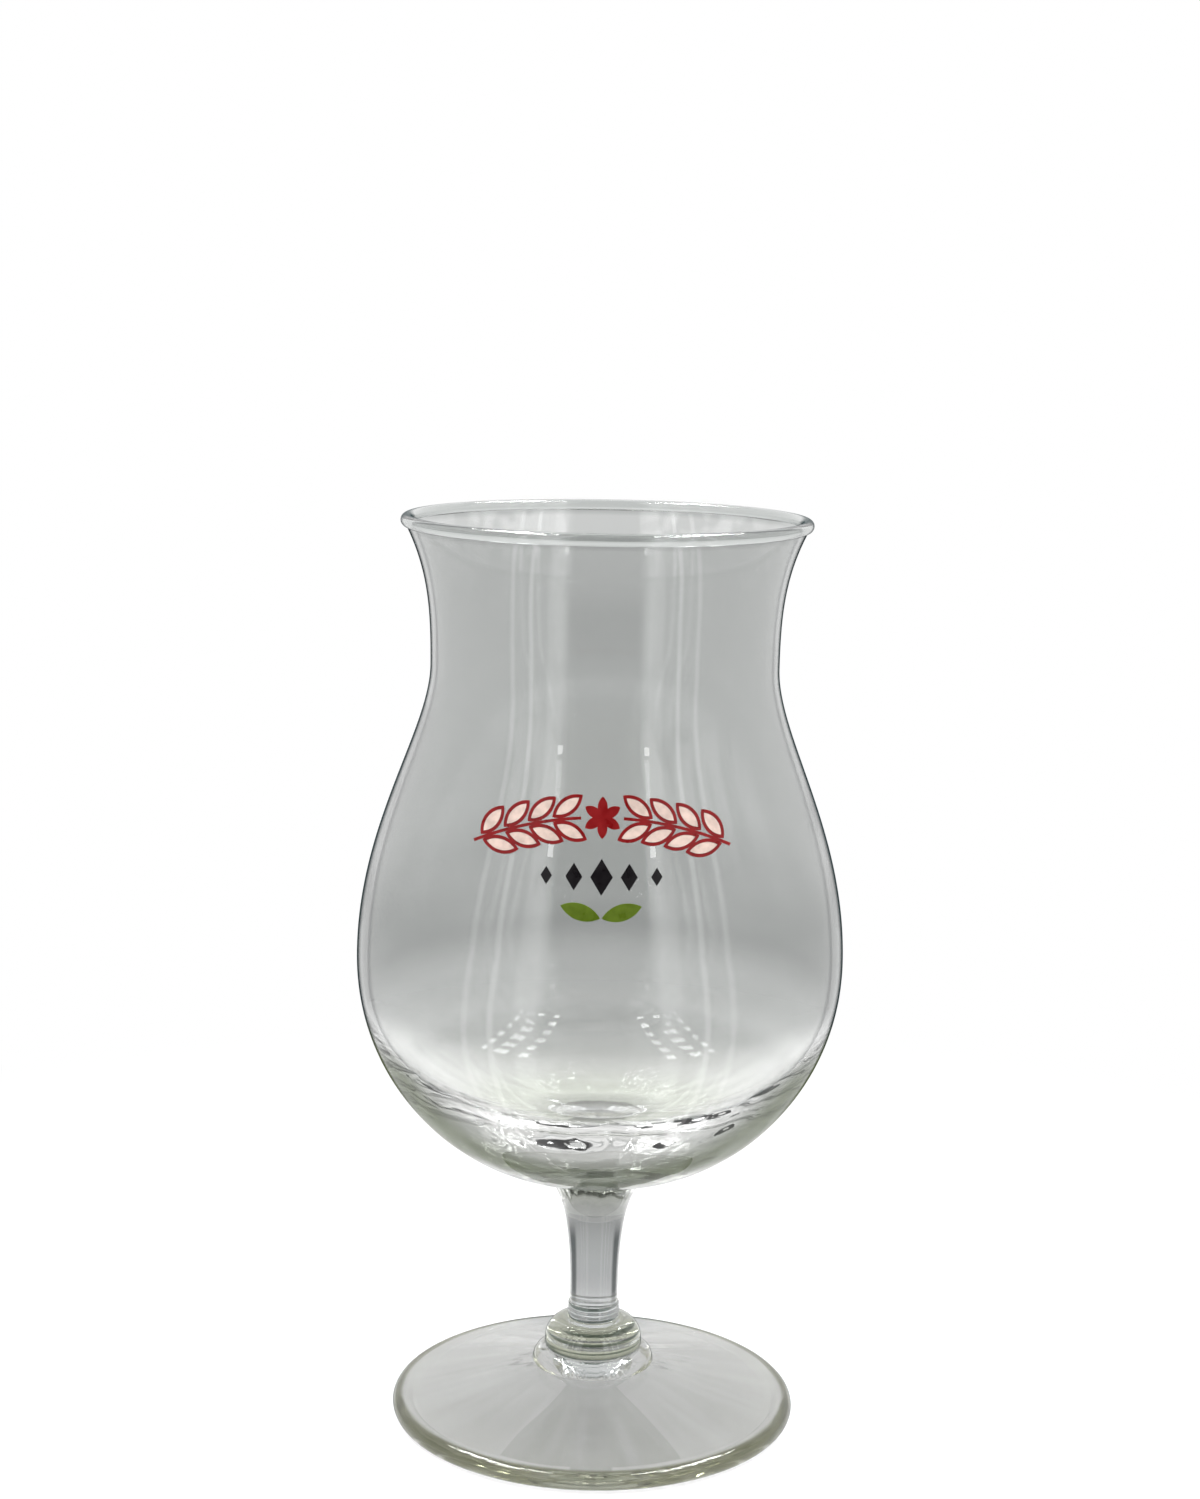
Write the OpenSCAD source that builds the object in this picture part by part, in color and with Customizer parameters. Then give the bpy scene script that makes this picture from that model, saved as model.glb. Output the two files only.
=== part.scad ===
// Tulip beer glass on a short stem: a blown bowl, a stem, a turned knop and a pressed foot,
// welded end to end, with a fired print in four colours on the front of the bowl.
// The glass stands on the plane z = 0, with its axis on z and its print facing -y.

/* [Mouth] */
// Outer diameter over the bead of the rim
rim_d = 70; // [64:0.5:80]
// Thickness of the fire-polished bead of the rim
rim_bead_d = 2.1; // [1.6:0.1:2.8]
// Wall under the bead
lip_wall = 1; // [0.7:0.1:1.3]
// Lean of the lip away from upright, in degrees
lip_flare = 26; // [10:1:40]

/* [Bowl] */
// Outer diameter of the waist
waist_d = 59.6; // [54:0.2:63]
// Wall at the waist
waist_wall = 0.9; // [0.7:0.1:1.4]
// Outer diameter of the belly
belly_d = 84.4; // [76:0.2:96]
// Wall at the belly
belly_wall = 1.7; // [1.2:0.1:2.6]
// Thickness of the solid glass in the base of the bowl
base_t = 8.2; // [6:0.2:13]
// Height of the rim above the waist
neck_rise = 25.6; // [20:0.2:32]
// Height of the waist above the belly
shoulder_rise = 50.9; // [42:0.2:60]
// Height of the belly above the underside of the bowl
base_rise = 38.5; // [32:0.5:46]
// Diameter at which the underside turns down into the drawn neck
flare_d = 20; // [16:0.5:26]
// Length of the drawn neck under the bowl
drawn_l = 8.6; // [5:0.2:12]

/* [Stem] */
// Diameter of the weld between the drawn neck and the stem
stem_top_d = 10.8; // [9:0.2:14]
// Diameter of the stem where it meets the knop
stem_d = 8.5; // [7:0.1:10.5]
// Length of the stem
stem_l = 16.4; // [10:0.2:60]
// Lean of the stem's side at the upper weld, in degrees
stem_flare = 11; // [0:1:20]

/* [Knop] */
// Diameter of the knop
knop_d = 17.1; // [14:0.1:22]
// Height of its plain band
band_h = 1; // [0.5:0.1:3]
// Height of its domed shoulder
dome_h = 3.8; // [2:0.1:6]
// Diameter of its neck
neck_d = 8.8; // [8:0.1:11]
// Length of its neck
neck_l = 2.6; // [1.5:0.1:6]
// Height of the rings that are turned on the neck
ring_h = 0.14; // [0:0.02:0.3]
// Number of those rings
ring_count = 3; // [1:1:5]
// Radius of the fillet between shoulder and neck
neck_fillet_r = 0.35; // [0.2:0.05:0.8]
// Radius of the lower edge of the band
band_edge_r = 0.45; // [0.2:0.05:0.8]

/* [Foot] */
// Outer diameter of the foot
foot_d = 71.3; // [60:0.1:90]
// Thickness of its rounded edge
foot_edge_t = 3.4; // [2.4:0.1:5]
// Height of the top of the cone, under the boss
cone_h = 9.2; // [6:0.1:14]
// Radius of the rolled boss that carries the knop
boss_r = 2.6; // [1.5:0.1:4]
// Width of the flat ring that the glass stands on
land_w = 2.6; // [1.5:0.1:6]
// Radius of the round crown of the hollow, which otherwise runs along under the cone
crown_r = 33; // [10:1:60]

/* [Print] */
// Height of the middle of the print above the belly
print_rise = 25; // [20:0.5:30]
// Thickness of the fired enamel
enamel_t = 0.15; // [0.1:0.01:0.3]
// Gap between one colour and the next
colour_gap = 0.05; // [0.02:0.01:0.1]
// Radius of the arch that the two ears of barley follow
arch_r = 46; // [40:1:80]
// Height of the top of the arch above the middle of the print
arch_rise = 6.4; // [5.5:0.1:8]
// Distance along the arch from its top to the first pair of grains
ear_start = 5.4; // [5:0.1:7]
// Distance from one pair of grains to the next
grain_pitch = 4; // [3.9:0.1:4.5]
// Pairs of grains in an ear
grain_pairs = 4; // [2:1:5]
// Length of a grain
grain_l = 6; // [4.5:0.1:6.4]
// Width of a grain
grain_w = 2.7; // [2:0.1:2.8]
// Lean of a grain away from its stalk, in degrees
grain_lean = 30; // [25:1:40]
// Distance of a grain's middle from the stalk
grain_out = 1.9; // [1.8:0.05:2.3]
// Width of the red outline of a grain
outline_w = 0.5; // [0.3:0.05:0.6]
// Width of the stalk
stalk_w = 0.45; // [0.3:0.05:0.6]
// Length of the stalk past the last pair of grains
stalk_tail = 4; // [3:0.1:5]
// Length of a petal of the rosette
petal_l = 3.2; // [2.4:0.1:3.4]
// Width of a petal of the rosette
petal_w = 1.6; // [1:0.1:1.8]
// Number of petals of the rosette
petal_count = 6; // [5:1:8]
// Number of lozenges on each side of the middle one
lozenge_pairs = 2; // [1:1:3]
// Height of the middle lozenge, the tallest
lozenge_h = 5.6; // [4:0.1:6]
// Width of the middle lozenge
lozenge_w = 3.6; // [2:0.1:4]
// Distance from one lozenge to the next
lozenge_pitch = 4.4; // [4.2:0.1:5]
// Depth of the row of lozenges below the middle of the print
lozenge_drop = 2.6; // [2.4:0.1:3]
// Length of a leaf
leaf_l = 6.6; // [5:0.1:7]
// Width of a leaf
leaf_w = 2.6; // [1.8:0.1:3]
// Depth of the leaves below the middle of the print
leaf_drop = 8; // [7.6:0.1:8.6]
// Lean of a leaf away from level, in degrees
leaf_lean = 16; // [0:1:25]

/* [Hidden] */

// Fineness of the curved outlines, in straight stretches
CURVE_STEPS = 24;
BEAD_STEPS = 18;
SMALL_STEPS = 8;
RING_STEPS = 12;
$fn = 144;

// How far the cut-out of the print reaches past what it cuts
overrun = 2;

// Heights of the faces where the pieces are welded, and of the bowl's turning points
foot_top_z = cone_h + boss_r;
knop_h = band_edge_r + band_h + dome_h + neck_fillet_r + neck_l;
knop_top_z = foot_top_z + knop_h;
stem_top_z = knop_top_z + stem_l;
base_z = stem_top_z + drawn_l;
floor_z = base_z + base_t;
belly_z = base_z + base_rise;
waist_z = belly_z + shoulder_rise;
rim_z = waist_z + neck_rise;

// Ease of the bowl's curves: how far each handle reaches along the stretch that it shapes
lip_ease_share = 0.33;
waist_up_share = 0.36;
waist_down_share = 0.23;
belly_up_share = 0.45;
belly_down_share = 0.615;
base_ease_share = 0.4;
floor_side_share = 0.84;
floor_ease_share = 0.5;
drawn_top_share = 0.15;
drawn_side_share = 0.52;
stem_ease_share = 0.33;

// Size of the lozenge at each end of the row, beside the middle one
end_lozenge_share = 0.5;

// A point part of the way from one to another
function mix(a, b, t) = a + (b - a) * t;
function handle(a, b, c, t) = mix(mix(a, b, t), mix(b, c, t), t);
// Points of a smooth stretch that leaves a towards b and comes to d from c
function bend(a, b, c, d, steps) =
    [for (i = [0 : steps]) mix(handle(a, b, c, i / steps), handle(b, c, d, i / steps), i / steps)];
// Points of an arc about a centre, from one angle to another
function arc(centre, size, from, to, steps) =
    [for (i = [0 : steps]) let (a = mix(from, to, i / steps))
        centre + [size.x * cos(a), size.y * sin(a)]];
function flipped(points) = [for (i = [len(points) - 1 : -1 : 0]) points[i]];

// The bead of the rim, from the outside of the wall over the top to the inside
bead_r = rim_bead_d / 2;
bead_centre = [rim_d / 2 - bead_r, rim_z - bead_r];
lip_way = [sin(lip_flare), cos(lip_flare)];
bead_open = asin(lip_wall / rim_bead_d);
bead_mid = 90 - lip_flare;
bead = arc(bead_centre, [bead_r, bead_r],
    bead_mid - 180 + bead_open, bead_mid + 180 - bead_open, BEAD_STEPS);

// The neck of the bowl, from the waist up to the bead, for a wall whose waist has a given radius
function neck_curve(waist_r, lip) = bend(
    [waist_r, waist_z], [waist_r, waist_z + waist_up_share * neck_rise],
    lip - lip_ease_share * neck_rise * lip_way, lip, CURVE_STEPS);
// The shoulder of the bowl, from the belly up to the waist
function shoulder_curve(belly_r, waist_r) = bend(
    [belly_r, belly_z], [belly_r, belly_z + belly_up_share * shoulder_rise],
    [waist_r, waist_z - waist_down_share * shoulder_rise], [waist_r, waist_z], CURVE_STEPS);

// The outside of the bowl, from the weld up to the waist
belly_r = belly_d / 2;
waist_r = waist_d / 2;
flare_r = flare_d / 2;
stem_top_r = stem_top_d / 2;
drawn_side = drawn_side_share * drawn_l;
drawn_curve = bend(
    [stem_top_r, stem_top_z], [stem_top_r + drawn_side * tan(stem_flare), stem_top_z + drawn_side],
    [mix(flare_r, stem_top_r, drawn_top_share), base_z], [flare_r, base_z], CURVE_STEPS);
base_curve = bend(
    [flare_r, base_z], [mix(flare_r, belly_r, base_ease_share), base_z],
    [belly_r, belly_z - belly_down_share * base_rise], [belly_r, belly_z], CURVE_STEPS);
shoulder_outside = shoulder_curve(belly_r, waist_r);

// The inside of the bowl, from the floor up to the waist
inner_belly_r = belly_r - belly_wall;
inner_waist_r = waist_r - waist_wall;
floor_curve = bend(
    [0, floor_z], [floor_ease_share * inner_belly_r, floor_z],
    [inner_belly_r, belly_z - floor_side_share * (belly_z - floor_z)], [inner_belly_r, belly_z],
    CURVE_STEPS);

module bowl() {
    color([0.86, 0.89, 0.88, 0.35])
        rotate_extrude()
            polygon(concat(
                [[0, stem_top_z]],
                drawn_curve,
                base_curve,
                shoulder_outside,
                neck_curve(waist_r, bead[0]),
                bead,
                flipped(neck_curve(inner_waist_r, bead[BEAD_STEPS])),
                flipped(shoulder_curve(inner_belly_r, inner_waist_r)),
                flipped(floor_curve)));
}

module stem() {
    r = stem_d / 2;
    reach = stem_ease_share * stem_l;
    color([0.84, 0.88, 0.87, 0.45])
        rotate_extrude()
            polygon(concat(
                [[0, knop_top_z]],
                bend([r, knop_top_z], [r, knop_top_z + reach],
                    [stem_top_r - reach * tan(stem_flare), stem_top_z - reach],
                    [stem_top_r, stem_top_z], CURVE_STEPS),
                [[0, stem_top_z]]));
}

// The knop stands on the boss, which is as wide as the flat under its band
knop_r = knop_d / 2;
seat_r = knop_r - band_edge_r;

module knop() {
    neck_r = neck_d / 2;
    dome_r = knop_r - neck_r - neck_fillet_r;
    band_bottom_z = foot_top_z + band_edge_r;
    dome_bottom_z = band_bottom_z + band_h;
    fillet_z = dome_bottom_z + dome_h + neck_fillet_r;
    ring_points = ring_count * RING_STEPS;
    rings = [for (i = [0 : ring_points])
        [neck_r + ring_h * pow(sin(180 * i / RING_STEPS), 2), mix(fillet_z, knop_top_z, i / ring_points)]];
    color([0.82, 0.86, 0.84, 0.5])
        rotate_extrude()
            polygon(concat(
                [[0, foot_top_z]],
                arc([seat_r, band_bottom_z], [band_edge_r, band_edge_r], -90, 0, SMALL_STEPS),
                arc([knop_r - dome_r, dome_bottom_z], [dome_r, dome_h], 0, 90, CURVE_STEPS),
                arc([neck_r + neck_fillet_r, fillet_z], [neck_fillet_r, neck_fillet_r],
                    270, 180, SMALL_STEPS),
                rings,
                [[0, knop_top_z]]));
}

module foot() {
    foot_r = foot_d / 2;
    edge_r = foot_edge_t / 2;
    edge_centre = [foot_r - edge_r, edge_r];
    boss_edge = [seat_r + boss_r, cone_h];
    slope = atan2(boss_edge.y - foot_edge_t, edge_centre.x - boss_edge.x);
    land_in_r = edge_centre.x - land_w;
    crown_centre_z = (land_in_r - crown_r * sin(slope)) * tan(slope) - crown_r * cos(slope);
    color([0.84, 0.88, 0.86, 0.45])
        rotate_extrude()
            polygon(concat(
                arc([0, crown_centre_z], [crown_r, crown_r], 90, 90 - slope, SMALL_STEPS),
                [[land_in_r, 0]],
                arc(edge_centre, [edge_r, edge_r], -90, 90 - slope, BEAD_STEPS),
                arc([seat_r, cone_h], [boss_r, boss_r], 0, 90, CURVE_STEPS / 2),
                [[0, foot_top_z]]));
}

print_z = belly_z + print_rise;

// The skin of enamel on the shoulder of the bowl, as thick as the print
module enamel_skin() {
    last = len(shoulder_outside) - 2;
    inner = [for (i = [1 : last]) shoulder_outside[i]];
    outer = [for (i = [1 : last])
        let (run = shoulder_outside[i + 1] - shoulder_outside[i - 1])
            shoulder_outside[i] + enamel_t * [run.y, -run.x] / norm(run)];
    rotate_extrude()
        polygon(concat(inner, flipped(outer)));
}

// Enamel where the flat shapes fall when they are laid on the front of the bowl
module printed() {
    intersection() {
        enamel_skin();
        translate([0, 0, print_z])
            rotate([90, 0, 0])
                linear_extrude(belly_r + overrun)
                    children();
    }
}

// A pointed oval that stands upright, drawn in by an inset all round
module pointed_oval(length, width, inset = 0) {
    r = (length * length + width * width) / (4 * width);
    intersection() {
        translate([width / 2 - r, 0])
            circle(r - inset);
        translate([r - width / 2, 0])
            circle(r - inset);
    }
}

// The angle that a length along the arch takes up
function arch_angle(length) = length / arch_r * 180 / PI;

// Places a shape at each grain of the two ears, pointing to the top of the arch
module at_grains() {
    translate([0, arch_rise - arch_r])
        for (side = [-1, 1], pair = [0 : grain_pairs - 1], row = [-1, 1])
            rotate(-side * arch_angle(ear_start + pair * grain_pitch))
                translate([0, arch_r + row * grain_out])
                    rotate(side * (90 - row * grain_lean))
                        children();
}

// The stalk of one ear, along the arch between its two rows of grains
module stalk(side) {
    from = arch_angle(ear_start - grain_pitch / 2);
    to = arch_angle(ear_start + (grain_pairs - 1) * grain_pitch + stalk_tail);
    reach = arch_r + overrun;
    translate([0, arch_rise - arch_r])
        intersection() {
            difference() {
                circle(arch_r + stalk_w / 2);
                circle(arch_r - stalk_w / 2);
            }
            polygon([
                [0, 0],
                [side * reach * sin(from), reach * cos(from)],
                [side * reach * sin(to), reach * cos(to)],
            ]);
        }
}

module rosette() {
    translate([0, arch_rise])
        for (i = [0 : petal_count - 1])
            rotate(i * 360 / petal_count)
                translate([0, petal_l / 2])
                    pointed_oval(petal_l, petal_w);
}

module enamel_cream() {
    color([0.80, 0.72, 0.64])
        printed()
            at_grains()
                pointed_oval(grain_l, grain_w, outline_w + colour_gap);
}

module enamel_red() {
    color([0.45, 0.08, 0.09])
        printed() {
            at_grains()
                difference() {
                    pointed_oval(grain_l, grain_w);
                    pointed_oval(grain_l, grain_w, outline_w);
                }
            stalk(-1);
            stalk(1);
            rosette();
        }
}

module enamel_black() {
    color([0.06, 0.06, 0.07])
        printed()
            for (i = [-lozenge_pairs : lozenge_pairs])
                translate([i * lozenge_pitch, -lozenge_drop])
                    lozenge(mix(1, end_lozenge_share, abs(i) / lozenge_pairs));
}

// A lozenge at a share of the size of the middle one
module lozenge(size_share) {
    w = lozenge_w / 2 * size_share;
    h = lozenge_h / 2 * size_share;
    polygon([[w, 0], [0, h], [-w, 0], [0, -h]]);
}

module enamel_green() {
    color([0.30, 0.45, 0.12])
        printed()
            for (side = [-1, 1])
                translate([side * leaf_l / 2, -leaf_drop])
                    rotate(side * (leaf_lean - 90))
                        pointed_oval(leaf_l, leaf_w);
}

bowl();
stem();
knop();
foot();
enamel_cream();
enamel_red();
enamel_black();
enamel_green();
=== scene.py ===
"""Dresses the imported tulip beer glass: smooth clear glass, a fired print and a plain pale studio."""

import math

import bpy
from mathutils import Matrix, Vector


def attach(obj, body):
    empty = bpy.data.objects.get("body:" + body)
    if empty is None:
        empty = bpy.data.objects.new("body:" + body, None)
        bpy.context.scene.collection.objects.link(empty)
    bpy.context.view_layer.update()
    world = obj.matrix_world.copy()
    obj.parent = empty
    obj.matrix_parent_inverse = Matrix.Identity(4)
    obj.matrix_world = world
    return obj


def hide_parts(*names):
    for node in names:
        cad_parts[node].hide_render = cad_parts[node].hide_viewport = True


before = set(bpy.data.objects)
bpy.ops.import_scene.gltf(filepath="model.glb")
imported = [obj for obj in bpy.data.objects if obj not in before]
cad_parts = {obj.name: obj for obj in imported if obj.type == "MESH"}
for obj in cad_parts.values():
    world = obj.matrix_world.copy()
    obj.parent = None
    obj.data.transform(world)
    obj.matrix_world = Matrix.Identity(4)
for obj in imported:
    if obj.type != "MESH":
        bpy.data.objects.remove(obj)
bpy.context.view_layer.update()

# Sizes below are in millimetres, as in the CAD source, unless a name says otherwise
MM = 0.001


# Camera: the photograph's view, found from the ellipses of the rim and the foot

PHOTO_HEIGHT_PX = 1499
FOCAL_PX = 2641
SENSOR_MM = 36
CAMERA_PLACE = (-0.6, -447.5, 198.2)
CAMERA_PITCH_DEG = 9.95
CAMERA_ROLL_DEG = 1.01
CAMERA_REACH_M = (0.01, 20)


def make_camera():
    data = bpy.data.cameras.new("camera")
    data.sensor_width = SENSOR_MM
    data.lens = FOCAL_PX / PHOTO_HEIGHT_PX * SENSOR_MM
    data.clip_start, data.clip_end = CAMERA_REACH_M
    camera = bpy.data.objects.new("camera", data)
    look = Matrix.Rotation(math.radians(90 - CAMERA_PITCH_DEG), 4, "X")
    roll = Matrix.Rotation(math.radians(CAMERA_ROLL_DEG), 4, "Z")
    camera.matrix_world = Matrix.Translation(Vector(CAMERA_PLACE) * MM) @ look @ roll
    bpy.context.scene.collection.objects.link(camera)
    bpy.context.scene.camera = camera


# Outlines: the same curves as the CAD source's, with more points

RIM_D = 70
RIM_BEAD_D = 2.1
LIP_WALL = 1
LIP_FLARE_DEG = 26
WAIST_D = 59.6
WAIST_WALL = 0.9
BELLY_D = 84.4
BELLY_WALL = 1.7
BASE_T = 8.2
NECK_RISE = 25.6
SHOULDER_RISE = 50.9
BASE_RISE = 38.5
FLARE_D = 20
DRAWN_L = 8.6
STEM_TOP_D = 10.8
STEM_D = 8.5
STEM_L = 16.4
STEM_FLARE_DEG = 11
KNOP_D = 17.1
BAND_H = 1
DOME_H = 3.8
NECK_D = 8.8
NECK_L = 2.6
RING_H = 0.14
RING_COUNT = 3
NECK_FILLET_R = 0.35
BAND_EDGE_R = 0.45
FOOT_D = 71.3
FOOT_EDGE_T = 3.4
CONE_H = 9.2
BOSS_R = 2.6
LAND_W = 2.6
CROWN_R = 33

FOOT_TOP_Z = CONE_H + BOSS_R
KNOP_TOP_Z = FOOT_TOP_Z + BAND_EDGE_R + BAND_H + DOME_H + NECK_FILLET_R + NECK_L
STEM_TOP_Z = KNOP_TOP_Z + STEM_L
BASE_Z = STEM_TOP_Z + DRAWN_L
FLOOR_Z = BASE_Z + BASE_T
BELLY_Z = BASE_Z + BASE_RISE
WAIST_Z = BELLY_Z + SHOULDER_RISE
RIM_Z = WAIST_Z + NECK_RISE

# How far the curves' handles reach, as shares of the stretches that they shape
LIP_EASE_SHARE = 0.33
WAIST_UP_SHARE = 0.36
WAIST_DOWN_SHARE = 0.23
BELLY_UP_SHARE = 0.45
BELLY_DOWN_SHARE = 0.615
BASE_EASE_SHARE = 0.4
FLOOR_SIDE_SHARE = 0.84
FLOOR_EASE_SHARE = 0.5
DRAWN_TOP_SHARE = 0.15
DRAWN_SIDE_SHARE = 0.52
STEM_EASE_SHARE = 0.33

CURVE_STEPS = 56
BEAD_STEPS = 28
SMALL_STEPS = 10
STRAIGHT_STEPS = 16
RING_STEPS = 14
TURN_STEPS = 192


def mix(a, b, t):
    return a + (b - a) * t


def bend(a, b, c, d, steps=CURVE_STEPS):
    """Points of a smooth stretch that leaves a towards b and comes to d from c."""
    a, b, c, d = (Vector(p) for p in (a, b, c, d))
    points = []
    for i in range(steps + 1):
        t = i / steps
        ab, bc, cd = mix(a, b, t), mix(b, c, t), mix(c, d, t)
        points.append(mix(mix(ab, bc, t), mix(bc, cd, t), t))
    return points


def straight(a, b, steps=STRAIGHT_STEPS):
    """Points between the two ends of a straight stretch, which keep its shading straight."""
    a, b = Vector(a), Vector(b)
    return [mix(a, b, i / steps) for i in range(1, steps)]


def arc(centre, size, start, end, steps):
    """Points of an arc about a centre, between two angles in degrees."""
    (x, z), (wide, high) = centre, size
    turns = [math.radians(mix(start, end, i / steps)) for i in range(steps + 1)]
    return [Vector((x + wide * math.cos(turn), z + high * math.sin(turn))) for turn in turns]


def bead_outline():
    """The bead of the rim, from the outside of the wall over the top to the inside."""
    r = RIM_BEAD_D / 2
    opening = math.degrees(math.asin(LIP_WALL / RIM_BEAD_D))
    middle = 90 - LIP_FLARE_DEG
    centre = (RIM_D / 2 - r, RIM_Z - r)
    return arc(centre, (r, r), middle - 180 + opening, middle + 180 - opening, BEAD_STEPS)


def neck_outline(waist_r, lip):
    way = Vector((math.sin(math.radians(LIP_FLARE_DEG)), math.cos(math.radians(LIP_FLARE_DEG))))
    return bend(
        (waist_r, WAIST_Z), (waist_r, WAIST_Z + WAIST_UP_SHARE * NECK_RISE),
        lip - LIP_EASE_SHARE * NECK_RISE * way, lip)


def shoulder_outline(belly_r, waist_r):
    return bend(
        (belly_r, BELLY_Z), (belly_r, BELLY_Z + BELLY_UP_SHARE * SHOULDER_RISE),
        (waist_r, WAIST_Z - WAIST_DOWN_SHARE * SHOULDER_RISE), (waist_r, WAIST_Z))


def bowl_outline():
    """The bowl's section, from the axis at the weld, up the outside and down the inside to the axis.

    Where the inside starts is given with it.
    """
    belly_r, waist_r = BELLY_D / 2, WAIST_D / 2
    flare_r, weld_r = FLARE_D / 2, STEM_TOP_D / 2
    inner_belly_r, inner_waist_r = belly_r - BELLY_WALL, waist_r - WAIST_WALL
    side = DRAWN_SIDE_SHARE * DRAWN_L
    side_r = weld_r + side * math.tan(math.radians(STEM_FLARE_DEG))
    drawn = bend(
        (weld_r, STEM_TOP_Z), (side_r, STEM_TOP_Z + side),
        (mix(flare_r, weld_r, DRAWN_TOP_SHARE), BASE_Z), (flare_r, BASE_Z))
    base = bend(
        (flare_r, BASE_Z), (mix(flare_r, belly_r, BASE_EASE_SHARE), BASE_Z),
        (belly_r, BELLY_Z - BELLY_DOWN_SHARE * BASE_RISE), (belly_r, BELLY_Z))
    floor = bend(
        (0, FLOOR_Z), (FLOOR_EASE_SHARE * inner_belly_r, FLOOR_Z),
        (inner_belly_r, BELLY_Z - FLOOR_SIDE_SHARE * (BELLY_Z - FLOOR_Z)), (inner_belly_r, BELLY_Z))
    bead = bead_outline()
    outside = drawn + base[1:] + shoulder_outline(belly_r, waist_r)[1:]
    outside += neck_outline(waist_r, bead[0])[1:-1]
    inside = floor + shoulder_outline(inner_belly_r, inner_waist_r)[1:]
    inside += neck_outline(inner_waist_r, bead[-1])[1:-1]
    return [Vector((0, STEM_TOP_Z))] + outside + bead + inside[::-1], 1 + len(outside)


def stem_outline():
    r, top_r = STEM_D / 2, STEM_TOP_D / 2
    reach = STEM_EASE_SHARE * STEM_L
    ease_r = top_r - reach * math.tan(math.radians(STEM_FLARE_DEG))
    side = bend(
        (r, KNOP_TOP_Z), (r, KNOP_TOP_Z + reach), (ease_r, STEM_TOP_Z - reach), (top_r, STEM_TOP_Z))
    return [Vector((0, KNOP_TOP_Z))] + side + [Vector((0, STEM_TOP_Z))]


def knop_outline():
    knop_r, neck_r = KNOP_D / 2, NECK_D / 2
    dome_r = knop_r - neck_r - NECK_FILLET_R
    band_z = FOOT_TOP_Z + BAND_EDGE_R
    dome_z = band_z + BAND_H
    fillet_z = dome_z + DOME_H + NECK_FILLET_R
    edge_size, fillet_size = (BAND_EDGE_R, BAND_EDGE_R), (NECK_FILLET_R, NECK_FILLET_R)
    count = RING_COUNT * RING_STEPS
    rings = [
        Vector((
            neck_r + RING_H * math.sin(math.pi * i / RING_STEPS) ** 2,
            mix(fillet_z, KNOP_TOP_Z, i / count)))
        for i in range(1, count + 1)]
    return (
        [Vector((0, FOOT_TOP_Z))]
        + arc((knop_r - BAND_EDGE_R, band_z), edge_size, -90, 0, SMALL_STEPS)
        + arc((knop_r - dome_r, dome_z), (dome_r, DOME_H), 0, 90, CURVE_STEPS)
        + arc((neck_r + NECK_FILLET_R, fillet_z), fillet_size, 270, 180, SMALL_STEPS)[1:]
        + rings
        + [Vector((0, KNOP_TOP_Z))])


def foot_outline():
    edge_r = FOOT_EDGE_T / 2
    edge_centre = (FOOT_D / 2 - edge_r, edge_r)
    seat_r = KNOP_D / 2 - BAND_EDGE_R
    slope = math.degrees(math.atan2(CONE_H - FOOT_EDGE_T, edge_centre[0] - seat_r - BOSS_R))
    land_r = edge_centre[0] - LAND_W
    rise = math.tan(math.radians(slope))
    side_r = CROWN_R * math.sin(math.radians(slope))
    crown_z = (land_r - side_r) * rise - CROWN_R * math.cos(math.radians(slope))
    crown = arc((0, crown_z), (CROWN_R, CROWN_R), 90, 90 - slope, SMALL_STEPS)
    edge = arc(edge_centre, (edge_r, edge_r), -90, 90 - slope, BEAD_STEPS)
    boss = arc((seat_r, CONE_H), (BOSS_R, BOSS_R), 0, 90, BEAD_STEPS)
    land = Vector((land_r, 0))
    return (
        crown + straight(crown[-1], land) + [land] + straight(land, edge[0], SMALL_STEPS)
        + edge + straight(edge[-1], boss[0]) + boss + [Vector((0, FOOT_TOP_Z))])


# Turned pieces

# The welded faces stay this far apart, so that light meets one after the other
WELD_GAP = 0.02
# The turn of an outline, in radians, that counts as a corner
CORNER = 0.3
# How close to the axis a point counts as on it
ON_AXIS = 0.001
# A turned piece's material slots
OUTSIDE, WELD, INSIDE = range(3)


def turned(outline, welds):
    """A turned outline's points, as rows of numbers and as places. A row on the axis has one point."""
    gap = WELD_GAP / 2
    lowest = min(p.y for p in outline)
    rows, verts = [], []
    for p in outline:
        z = p.y
        if any(abs(z - weld) < gap for weld in welds):
            z += gap if abs(z - lowest) < gap else -gap
        if p.x < ON_AXIS:
            rows.append([len(verts)])
            verts.append((0, 0, z * MM))
        else:
            rows.append(range(len(verts), len(verts) + TURN_STEPS))
            for i in range(TURN_STEPS):
                turn = 2 * math.pi * i / TURN_STEPS
                verts.append((p.x * math.cos(turn) * MM, p.x * math.sin(turn) * MM, z * MM))
    return rows, verts


def row_faces(low, high):
    """The faces between two rows, of which one may be a single point."""
    faces = []
    for i in range(TURN_STEPS):
        j = (i + 1) % TURN_STEPS
        if len(low) == 1:
            faces.append((low[0], high[j], high[i]))
        elif len(high) == 1:
            faces.append((low[i], low[j], high[0]))
        else:
            faces.append((low[i], low[j], high[j], high[i]))
    return faces


def corner_edges(outline, rows):
    """The edges round the outline's corners, which are shaded sharp."""
    edges = set()
    for k in range(1, len(rows) - 1):
        if (outline[k] - outline[k - 1]).angle(outline[k + 1] - outline[k], 0) > CORNER:
            row = rows[k]
            edges.update(tuple(sorted((row[i], row[i - 1]))) for i in range(len(row)))
    return edges


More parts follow.
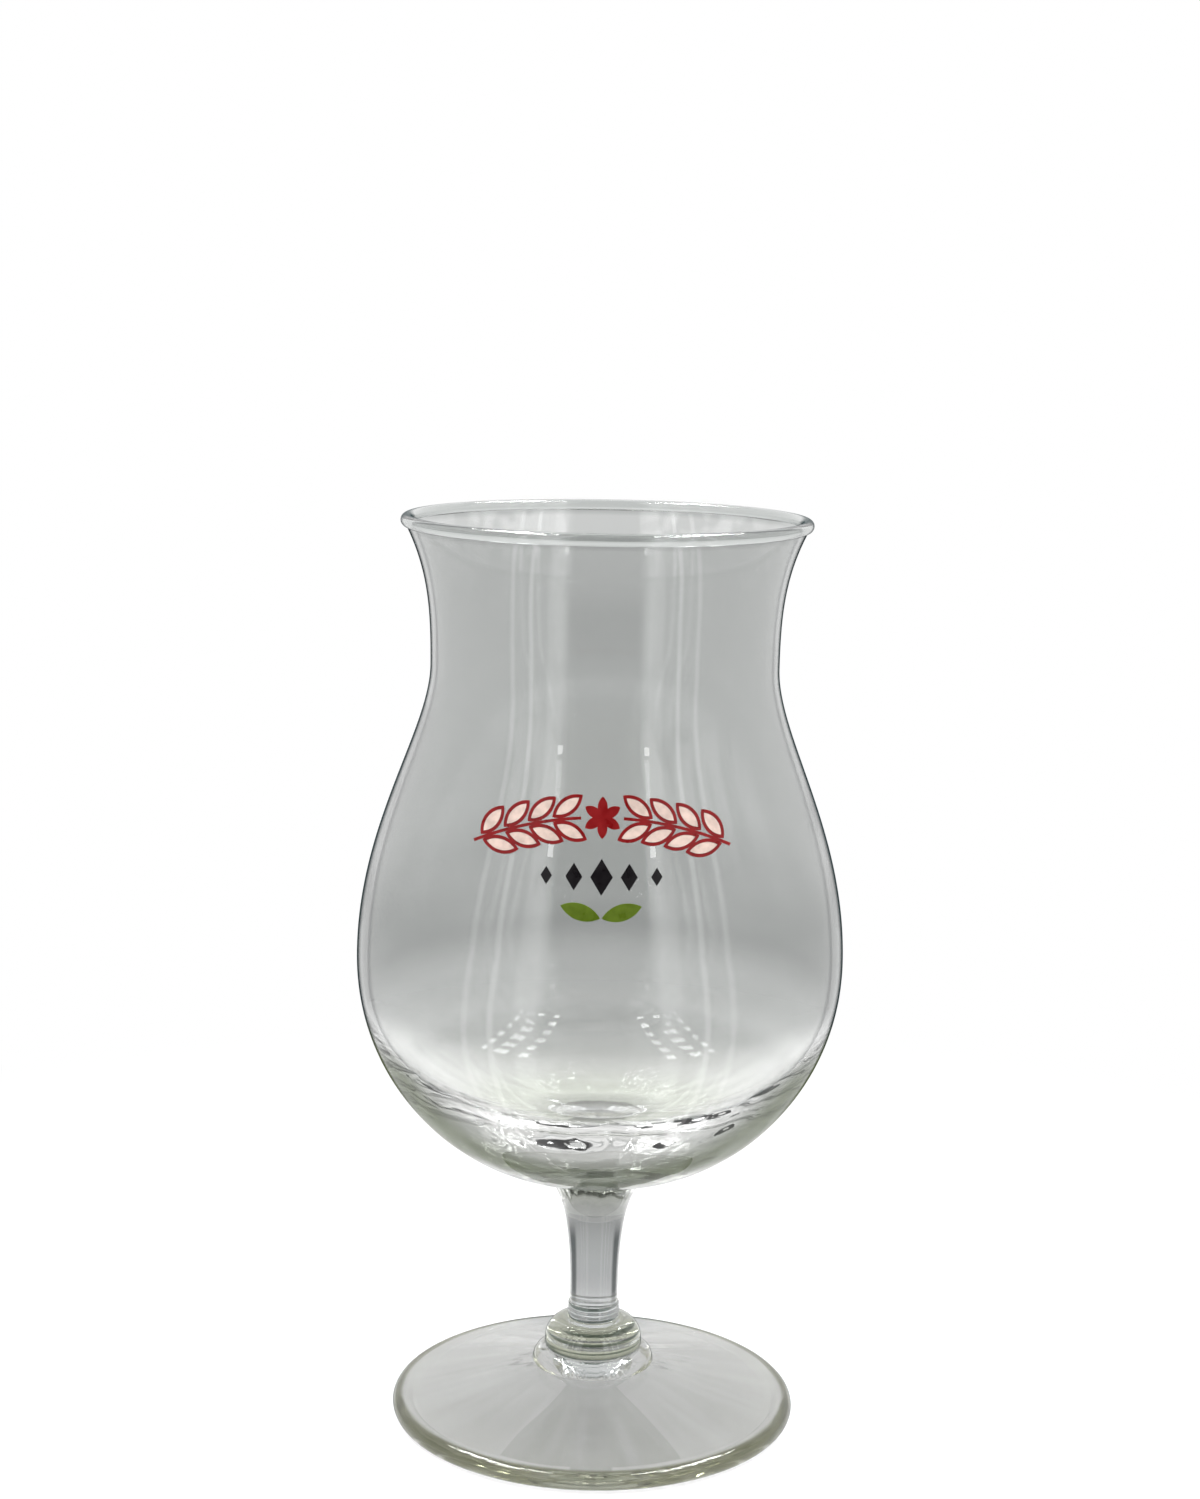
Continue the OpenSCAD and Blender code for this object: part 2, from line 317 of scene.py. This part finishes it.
def lathe(name, outline, materials, welds, inside_from=None):
    """A closed body of revolution, given its welds' heights and the row where its inside starts."""
    gap = WELD_GAP / 2
    rows, verts = turned(outline, welds)
    faces, slots = [], []
    for k in range(len(rows) - 1):
        slot = OUTSIDE
        if inside_from is not None and k >= inside_from:
            slot = INSIDE
        elif abs(outline[k].y - outline[k + 1].y) < gap:
            if any(abs(outline[k].y - weld) < gap for weld in welds):
                slot = WELD
        faces += row_faces(rows[k], rows[k + 1])
        slots += [slot] * TURN_STEPS
    mesh = bpy.data.meshes.new(name)
    mesh.from_pydata(verts, [], faces)
    for material in materials:
        mesh.materials.append(material)
    for polygon, slot in zip(mesh.polygons, slots):
        polygon.use_smooth = True
        polygon.material_index = slot
    mesh.update()
    sharp = corner_edges(outline, rows)
    for edge in mesh.edges:
        edge.use_edge_sharp = tuple(sorted(edge.vertices)) in sharp
    piece = bpy.data.objects.new(name, mesh)
    bpy.context.scene.collection.objects.link(piece)
    return piece


# Nodes

# Light Path counts bounces in whole numbers, and above this it has counted one
NO_BOUNCE = 0.5


def new_material(name):
    """A material with its node tree and its Principled shader."""
    material = bpy.data.materials.new(name)
    material.use_nodes = True
    tree = material.node_tree
    return material, tree, tree.nodes["Principled BSDF"]


def show(tree, shader):
    tree.links.new(shader, tree.nodes["Material Output"].inputs["Surface"])


def mix_shaders(tree, share, first, second):
    node = tree.nodes.new("ShaderNodeMixShader")
    for socket, value in zip(node.inputs, (share, first, second)):
        tree.links.new(value, socket)
    return node.outputs["Shader"]


def feed(tree, value, socket):
    """Links a socket to another one, or sets its value."""
    if isinstance(value, bpy.types.NodeSocket):
        tree.links.new(value, socket)
    else:
        socket.default_value = value


def calc(tree, operation, *values):
    node = tree.nodes.new("ShaderNodeMath")
    node.operation = operation
    for socket, value in zip(node.inputs, values):
        feed(tree, value, socket)
    return node.outputs["Value"]


def vector_calc(tree, operation, *values, result="Vector"):
    node = tree.nodes.new("ShaderNodeVectorMath")
    node.operation = operation
    for socket, value in zip(node.inputs, values):
        feed(tree, value, socket)
    return node.outputs[result]


def product(tree, first, *others):
    for other in others:
        first = calc(tree, "MULTIPLY", first, other)
    return first


def total(tree, first, *others):
    for other in others:
        first = calc(tree, "ADD", first, other)
    return first


def toward(tree, share, value, goal):
    """The value at nought, the goal at one, and what lies between them at other shares."""
    return calc(tree, "MULTIPLY_ADD", calc(tree, "SUBTRACT", goal, value), share, value)


def between(tree, value, low, high):
    return product(tree, calc(tree, "GREATER_THAN", value, low), calc(tree, "LESS_THAN", value, high))


def ramp(tree, value, low, high, from_value=0, to_value=1):
    """A smooth passage from one value to another while the input goes from low to high."""
    node = tree.nodes.new("ShaderNodeMapRange")
    node.interpolation_type = "SMOOTHSTEP"
    node.inputs["From Min"].default_value = low
    node.inputs["From Max"].default_value = high
    node.inputs["To Min"].default_value = from_value
    node.inputs["To Max"].default_value = to_value
    tree.links.new(value, node.inputs["Value"])
    return node.outputs["Result"]


def blend(tree, share, first, second):
    """A colour between two, which may be colours or sockets."""
    node = tree.nodes.new("ShaderNodeMix")
    node.data_type = "RGBA"
    tree.links.new(share, node.inputs["Factor"])
    for socket, colour in ((node.inputs["A"], first), (node.inputs["B"], second)):
        feed(tree, colour if isinstance(colour, bpy.types.NodeSocket) else (*colour, 1), socket)
    return node.outputs["Result"]


def along(tree, way, steps):
    """A colour that goes smoothly through (millimetres along the way, colour)."""
    colour = steps[0][1]
    for (low, _), (high, tint) in zip(steps, steps[1:]):
        colour = blend(tree, ramp(tree, way, low * MM, high * MM), colour, tint)
    return colour


def shares(steps):
    """Steps for along() from (millimetres along the way, share)."""
    return [(place, (share,) * 3) for place, share in steps]


def axes(tree, vector):
    node = tree.nodes.new("ShaderNodeSeparateXYZ")
    tree.links.new(vector, node.inputs["Vector"])
    return [node.outputs[axis] for axis in "XYZ"]


def object_place(tree):
    return tree.nodes.new("ShaderNodeTexCoord").outputs["Object"]


def noise(tree, place, scale, detail):
    node = tree.nodes.new("ShaderNodeTexNoise")
    node.inputs["Scale"].default_value = scale
    node.inputs["Detail"].default_value = detail
    tree.links.new(place, node.inputs["Vector"])
    return node.outputs["Fac"]


def bump(tree, height, depth):
    """The normal of a face with waves, whose height goes from nought to one and whose depth is given."""
    node = tree.nodes.new("ShaderNodeBump")
    node.inputs["Distance"].default_value = depth * MM
    tree.links.new(height, node.inputs["Height"])
    return node.outputs["Normal"]


def bounced(tree, kind):
    """One for light that has bounced in this way before it gets here, nought for other light."""
    path = tree.nodes.new("ShaderNodeLightPath")
    return calc(tree, "GREATER_THAN", path.outputs[kind + " Depth"], NO_BOUNCE)


# Glass

# What each piece lets through from face to face, by height, or on the foot by distance from the axis.
# Only partly the glass's own grey: the steps also paint light and shade, such as the pale band across
# the lower bowl, the dark band at the foot of the bowl's thick base and the dark band low on the knop
GLASS_TINTS_AND_PAINTED_LIGHT = {
    "inside": [(157, (0.97, 0.98, 0.97)), (158.2, (0.56, 0.58, 0.57))],
    "bowl": [
        (38, (0.36, 0.37, 0.355)), (41.5, (0.30, 0.31, 0.285)), (43, (0.08, 0.09, 0.065)),
        (44.6, (0.08, 0.09, 0.065)), (46, (0.26, 0.28, 0.22)), (54, (0.43, 0.435, 0.41)),
        (60, (0.56, 0.565, 0.55)), (65, (0.90, 0.90, 0.89)), (70.5, (0.84, 0.845, 0.84)),
        (79.5, (0.32, 0.33, 0.325)), (86, (0.29, 0.30, 0.295)), (92, (0.30, 0.31, 0.305)),
        (104, (0.44, 0.45, 0.445)), (112, (0.43, 0.44, 0.435)), (160, (0.42, 0.43, 0.425))],
    "stem": [
        (20, (0.36, 0.365, 0.365)), (25, (0.26, 0.268, 0.268)), (34, (0.27, 0.278, 0.276))],
    "knop": [
        (12, (0.14, 0.16, 0.15)), (13.2, (0.60, 0.63, 0.64)), (17, (0.64, 0.67, 0.68)),
        (18, (0.58, 0.60, 0.60))],
    "foot": [
        (9, (0.46, 0.465, 0.455)), (24, (0.44, 0.445, 0.43)), (33.6, (0.48, 0.485, 0.465)),
        (34.4, (0.14, 0.145, 0.09))],
}
# Glass without its tint, for the light that falls on the print and the floor
CLEAR = (0.97, 0.98, 0.97)
GLASS_IOR = 1.52

# Soft mould waves: roughly how many go round, their height and depth, and their strength by piece
RIPPLES_ROUND = 3
RIPPLE_H = 14
RIPPLE_DEPTH = 0.9
RIPPLE_DETAIL = 1
RIPPLES = {
    "inside": [(53.4, 0), (54.5, 0.4), (60, 0.04), (160, 0.04)],
    "bowl": [(38, 0), (44, 1), (56, 1), (66, 0.04), (160, 0.04)],
    "stem": [(20, 0.04), (36, 0.04)],
    "knop": [(12, 0.04), (20, 0.04)],
    "foot": [(9, 0.12), (24, 0.12), (33, 0.1), (34.5, 0.5)],
}

# Painted shade: a dark matt colour is mixed in where the glass is seen almost edge on, more or less so
# on each piece, standing in for the dark edges that refraction shows
PAINTED_EDGE_SHADE = (0.012, 0.022, 0.024)
EDGE_SPAN = (0.80, 0.92)
PAINTED_EDGE_SHARES = {
    "inside": [(53, 0.3), (66, 1), (156, 1), (158.2, 0.75)],
    "bowl": [(38, 0.3), (52, 0.3), (66, 1), (160, 1)],
    "stem": [(20, 0.3), (23, 1), (32, 1), (36.4, 0.1)],
    "knop": [(12, 1), (20, 1)],
    "foot": [(9, 1), (36, 1)],
}
# The stem's dark lines, painted shade like the edges, lie further in
LINE_START = (0.32, 0.44)
LINE_END = (0.58, 0.70)
LINE_SHARE = 0.7

# The thick glass low on the bowl's sides is painted darker and greener where it is seen aslant:
# the green is the thick glass's own, the darkening is painted shade
LOW_SIDES = [(48, 0), (54, 1), (66, 1), (76, 0)]
LOW_SIDE_SPAN = (0.40, 0.72)
LOW_SIDE_SHARE = 0.5
LOW_SIDE_GREEN_AND_SHADE = (0.13, 0.155, 0.095)
LOW_SIDE_EDGE_SHADE = (0.06, 0.075, 0.03)

# Fine dark lines of painted shade round the knop's band and dome, where refraction shows dark lines
SHADE_LINE_H = 0.55
SHADE_LINES_ROUND = 0.35
SHADE_LINE_SPAN = (0.54, 0.62)
SHADE_LINE_COLOUR = (0.05, 0.07, 0.06)

# Soft pale rays in the foot: painted light, standing in for reflections
PAINTED_RAYS = [(12, 0), (20, 1), (30, 1), (34, 0)]
PAINTED_RAYS_ROUND = 5
PAINTED_RAY_SPAN = (0.42, 0.72)
PAINTED_RAY_LIGHT = (0.515, 0.52, 0.51)


def ripple(tree, place, high, around_count):
    """Uneven waves on a piece, given their height in millimetres and roughly how many go round."""
    around = vector_calc(tree, "NORMALIZE", vector_calc(tree, "MULTIPLY", place, (1, 1, 0)))
    around = vector_calc(tree, "MULTIPLY", around, (around_count,) * 3)
    waves = vector_calc(tree, "MULTIPLY_ADD", place, (0, 0, 1 / (high * MM)), around)
    return noise(tree, waves, 1, RIPPLE_DETAIL)


# The glass's grey tint, with painted light and shade in it: its steps by height, the knop's dark lines,
# the foot's pale rays and the bowl's darker low sides
def tint_and_painted_light(tree, piece, place, way, low_side):
    tint = along(tree, way, GLASS_TINTS_AND_PAINTED_LIGHT[piece])
    if piece == "knop":
        shade_lines = ramp(tree, ripple(tree, place, SHADE_LINE_H, SHADE_LINES_ROUND), *SHADE_LINE_SPAN)
        tint = blend(tree, shade_lines, tint, SHADE_LINE_COLOUR)
    if piece == "bowl":
        tint = blend(tree, low_side, tint, LOW_SIDE_GREEN_AND_SHADE)
    if piece == "foot":
        painted_rays = ramp(tree, ripple(tree, place, RIPPLE_H, PAINTED_RAYS_ROUND), *PAINTED_RAY_SPAN)
        painted_rays = product(tree, painted_rays, along(tree, way, shares(PAINTED_RAYS)))
        tint = blend(tree, painted_rays, tint, PAINTED_RAY_LIGHT)
    return blend(tree, bounced(tree, "Diffuse"), tint, CLEAR)


def painted_edge_share(tree, piece, way, facing, low_side):
    """How much painted shade darkens the piece's edge, on faces seen from outside the glass."""
    if piece == "stem":
        lines = ramp(tree, facing, *LINE_END, LINE_SHARE, 0)
        edge = product(tree, ramp(tree, facing, *LINE_START), lines)
    else:
        edge = ramp(tree, facing, *EDGE_SPAN)
    edge = product(tree, edge, along(tree, way, shares(PAINTED_EDGE_SHARES[piece])))
    if piece == "bowl":
        edge = calc(tree, "MAXIMUM", edge, product(tree, low_side, LOW_SIDE_SHARE))
    backfacing = tree.nodes.new("ShaderNodeNewGeometry").outputs["Backfacing"]
    return product(tree, edge, calc(tree, "SUBTRACT", 1, backfacing))


def glass_material(name, piece):
    """Clear glass with mould waves, a painted dark edge and a tint with painted light and shade. It
    changes upwards, or on the foot outwards.
    """
    material, tree, glass = new_material(name)
    glass.inputs["Roughness"].default_value = 0
    glass.inputs["IOR"].default_value = GLASS_IOR
    glass.inputs["Transmission Weight"].default_value = 1
    place = object_place(tree)
    x, y, way = axes(tree, place)
    if piece == "foot":
        way = calc(tree, "SQRT", total(tree, product(tree, x, x), product(tree, y, y)))
    facing = tree.nodes.new("ShaderNodeLayerWeight").outputs["Facing"]
    low_side = None
    dark = tree.nodes.new("ShaderNodeBsdfDiffuse")
    dark.inputs["Color"].default_value = (*PAINTED_EDGE_SHADE, 1)
    if piece == "bowl":
        low_side = ramp(tree, facing, *LOW_SIDE_SPAN)
        low_side = product(tree, low_side, along(tree, way, shares(LOW_SIDES)))
        tree.links.new(blend(tree, low_side, PAINTED_EDGE_SHADE, LOW_SIDE_EDGE_SHADE), dark.inputs["Color"])
    tree.links.new(tint_and_painted_light(tree, piece, place, way, low_side), glass.inputs["Base Color"])
    waves = product(
        tree, ripple(tree, place, RIPPLE_H, RIPPLES_ROUND), along(tree, way, shares(RIPPLES[piece])))
    tree.links.new(bump(tree, waves, RIPPLE_DEPTH), glass.inputs["Normal"])
    share = painted_edge_share(tree, piece, way, facing, low_side)
    show(tree, mix_shaders(tree, share, glass.outputs["BSDF"], dark.outputs["BSDF"]))
    return material


def weld_material(name):
    """Lets light straight on through a hidden weld, with the same glass on its other side."""
    material, tree, shader = new_material(name)
    tree.nodes.remove(shader)
    show(tree, tree.nodes.new("ShaderNodeBsdfTransparent").outputs["BSDF"])
    return material


def make_glass():
    weld = weld_material("weld")
    inside = glass_material("glass_inside", "inside")
    outline, inside_from = bowl_outline()
    pieces = {
        "bowl": (outline, [STEM_TOP_Z], inside_from),
        "stem": (stem_outline(), [KNOP_TOP_Z, STEM_TOP_Z], None),
        "knop": (knop_outline(), [FOOT_TOP_Z, KNOP_TOP_Z], None),
        "foot": (foot_outline(), [FOOT_TOP_Z], None),
    }
    for node, (outline, welds, inside_from) in pieces.items():
        glass = glass_material("glass_" + node, node)
        materials = [glass, weld] if inside_from is None else [glass, weld, inside]
        piece = lathe("glass_" + node, outline, materials, welds, inside_from)
        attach(piece, "root")
        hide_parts(node)


# Enamel

ENAMEL_COLOURS = {
    "enamel_cream": (0.60, 0.465, 0.405),
    "enamel_red": (0.18, 0.004, 0.005),
    "enamel_black": (0.005, 0.004, 0.005),
    "enamel_green": (0.08, 0.125, 0.009),
}
ENAMEL_SPECULAR = 0.2
ENAMEL_DETAIL = 2
# The fired colour lies unevenly, which shows in its colour and its gloss
MOTTLE_SIZE = 1.6
MOTTLE_SPAN = (0.3, 0.7)
MOTTLE_DEEP = 0.84
MOTTLE_LIGHT = 1.1
MOTTLE_ROUGHNESS = (0.26, 0.46)
# The fine grain of the screen that it was printed through
GRAIN_SIZE = 0.22
GRAIN_DEPTH = 0.02


def enamel_material(name, colour):
    material, tree, shader = new_material(name)
    place = object_place(tree)
    mottle = noise(tree, place, 1 / (MOTTLE_SIZE * MM), ENAMEL_DETAIL)
    grain = noise(tree, place, 1 / (GRAIN_SIZE * MM), ENAMEL_DETAIL)
    deep, light = ([share * c for c in colour] for share in (MOTTLE_DEEP, MOTTLE_LIGHT))
    tint = blend(tree, ramp(tree, mottle, *MOTTLE_SPAN), deep, light)
    tree.links.new(tint, shader.inputs["Base Color"])
    roughness = ramp(tree, mottle, *MOTTLE_SPAN, *MOTTLE_ROUGHNESS)
    tree.links.new(roughness, shader.inputs["Roughness"])
    shader.inputs["Specular IOR Level"].default_value = ENAMEL_SPECULAR
    tree.links.new(bump(tree, grain, GRAIN_DEPTH), shader.inputs["Normal"])
    return material


def make_enamel():
    for node, colour in ENAMEL_COLOURS.items():
        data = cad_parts[node].data
        data.materials.clear()
        data.materials.append(enamel_material(node, colour))


# Studio: its light by direction, in degrees of azimuth from the camera's side and of elevation

# A white band round the horizon, and above it a dim ceiling with uneven light
BAND_SPAN = (8, 32)
CEILING = 0.55
PATCH_SCALE = 4.5
PATCH_DETAIL = 1
PATCH_SPAN = (0.43, 0.57)
PATCH_DARK = 0.03
PATCH_BRIGHT = 2.4
# A dark wall behind the camera, and pale walls at its sides
WALL_SPAN = (22, 26)
WALL_DIM = 0.95
SIDE_SPAN = (95, 125)
SIDE = 0.4
WALL_TOP_SPAN = (56, 80)
# Pale strips on the walls at the sides, each with its azimuth, half width, soft edge and strength
STRIPS = ((32, 3, 4, 0.8), (48, 0.7, 1.4, 1.4), (61, 0.7, 1.6, 1.0))
# An even wall behind the glass, which its floor and its foot mirror
BACK_SPAN = (90, 150)
BACK_LOW_SPAN = (8, 12)
BACK_TOP_SPAN = (68, 92)
BACK = 1.15
# A small lamp on each side in front
LAMP_ASIDE = (26, 29)
LAMP_UP = (24, 26)
LAMP = 6
# Rows of small lamps on the ceiling, placed aside and behind by shares of the ceiling's height
ROW_ASIDE = (0.27, 0.63)
ROW_BEHIND = (-0.27, 0.72)
ROW_PITCH = 0.18
ROW_LAMP = 0.05
ROW = 55

FLOOR_GAP = 0.05
FLOOR_SIZE = 6000
FLOOR_COLOUR = (0.9, 0.9, 0.9)
FLOOR_ROUGHNESS = 0.6
# The floor glows white by this share beside the glass, and wholly from further out
FLOOR_GLOW = 0.75
FLOOR_FADE_M = (0.05, 0.25)
# In mirrors the floor goes dark in front, as the wall behind the camera is
FRONT_DIM = 0.85
FRONT_FADE_M = (0.15, 0.4)


def aside_of(tree, x, y):
    """The azimuth from the camera's side, in degrees, alike on the left and on the right."""
    azimuth = calc(tree, "ARCTAN2", x, calc(tree, "MULTIPLY", y, -1))
    return calc(tree, "ABSOLUTE", calc(tree, "DEGREES", azimuth))


def strips(tree, aside):
    """The extra light of the pale strips."""
    lights = []
    for place, half, soft, strength in STRIPS:
        off = calc(tree, "ABSOLUTE", calc(tree, "SUBTRACT", aside, place))
        lights.append(ramp(tree, off, half, half + soft, strength, 0))
    return total(tree, *lights)


def lamp_rows(tree, x, y, z):
    """One where a small lamp of the rows on the ceiling is, nought elsewhere."""
    aside = calc(tree, "ABSOLUTE", calc(tree, "DIVIDE", x, z))
    behind = calc(tree, "DIVIDE", y, z)
    dots = [
        calc(tree, "SUBTRACT", ROW_PITCH / 2, calc(tree, "PINGPONG", value, ROW_PITCH / 2))
        for value in (aside, behind)]
    lamp = calc(tree, "LESS_THAN", calc(tree, "MAXIMUM", *dots), ROW_LAMP)
    return product(
        tree, lamp, between(tree, aside, *ROW_ASIDE), between(tree, behind, *ROW_BEHIND),
        calc(tree, "GREATER_THAN", z, 0))


def floor_light(tree, place, far):
    """White, but in mirrors dark in front and striped, as the walls behind the camera are."""
    x, y, _ = axes(tree, place)
    aside = aside_of(tree, x, y)
    dark = product(
        tree, ramp(tree, aside, *WALL_SPAN, FRONT_DIM, 0), ramp(tree, far, *FRONT_FADE_M))
    change = calc(tree, "SUBTRACT", strips(tree, aside), dark)
    return calc(tree, "MULTIPLY_ADD", change, bounced(tree, "Glossy"), 1)


def make_floor():
    mesh = bpy.data.meshes.new("floor")
    s = FLOOR_SIZE / 2 * MM
    z = -FLOOR_GAP * MM
    mesh.from_pydata([(-s, -s, z), (s, -s, z), (s, s, z), (-s, s, z)], [], [(0, 1, 2, 3)])
    floor = bpy.data.objects.new("floor", mesh)
    bpy.context.scene.collection.objects.link(floor)
    material, tree, shader = new_material("floor")
    shader.inputs["Base Color"].default_value = (*FLOOR_COLOUR, 1)
    shader.inputs["Roughness"].default_value = FLOOR_ROUGHNESS
    place = tree.nodes.new("ShaderNodeNewGeometry").outputs["Position"]
    far = vector_calc(tree, "LENGTH", place, result="Value")
    white = tree.nodes.new("ShaderNodeEmission")
    tree.links.new(floor_light(tree, place, far), white.inputs["Strength"])
    share = ramp(tree, far, *FLOOR_FADE_M, FLOOR_GLOW, 1)
    show(tree, mix_shaders(tree, share, shader.outputs["BSDF"], white.outputs["Emission"]))
    mesh.materials.append(material)


def make_world():
    world = bpy.data.worlds.new("studio")
    bpy.context.scene.world = world
    world.use_nodes = True
    tree = world.node_tree
    way = tree.nodes.new("ShaderNodeTexCoord").outputs["Generated"]
    x, y, z = axes(tree, way)
    up = calc(tree, "DEGREES", calc(tree, "ARCSINE", z))
    aside = aside_of(tree, x, y)
    over_band = ramp(tree, up, *BAND_SPAN)
    under_top = ramp(tree, up, *WALL_TOP_SPAN, 1, 0)

    patches = noise(tree, way, PATCH_SCALE, PATCH_DETAIL)
    patches = ramp(tree, patches, *PATCH_SPAN, PATCH_DARK, PATCH_BRIGHT)
    light = toward(tree, over_band, 1, product(tree, patches, CEILING))
    wall = product(tree, ramp(tree, aside, *WALL_SPAN, WALL_DIM, 0), under_top)
    light = product(tree, light, calc(tree, "SUBTRACT", 1, wall))
    side = product(
        tree, ramp(tree, aside, *SIDE_SPAN, SIDE, 0), ramp(tree, aside, *WALL_SPAN),
        under_top, over_band)
    light = total(tree, side, light, product(tree, strips(tree, aside), under_top))
    back = product(
        tree, ramp(tree, aside, *BACK_SPAN), ramp(tree, up, *BACK_TOP_SPAN, 1, 0),
        ramp(tree, up, *BACK_LOW_SPAN))
    light = toward(tree, back, light, BACK)
    rows = product(tree, lamp_rows(tree, x, y, z), ROW)
    lamps = product(tree, between(tree, aside, *LAMP_ASIDE), between(tree, up, *LAMP_UP), LAMP)
    light = total(tree, light, rows, lamps)

    # The camera itself sees a white backdrop
    path = tree.nodes.new("ShaderNodeLightPath")
    unseen = calc(tree, "SUBTRACT", 1, path.outputs["Is Camera Ray"])
    background = tree.nodes["Background"]
    background.inputs["Color"].default_value = (1, 1, 1, 1)
    tree.links.new(toward(tree, unseen, 1, light), background.inputs["Strength"])


make_camera()
make_glass()
make_enamel()
make_floor()
make_world()

# Light turns back and forth many times in thick glass
LIGHT_TURNS = 28

scene = bpy.context.scene
scene.view_settings.view_transform = "Standard"
scene.cycles.max_bounces = LIGHT_TURNS
scene.cycles.glossy_bounces = LIGHT_TURNS
scene.cycles.transmission_bounces = LIGHT_TURNS
scene.cycles.transparent_max_bounces = LIGHT_TURNS
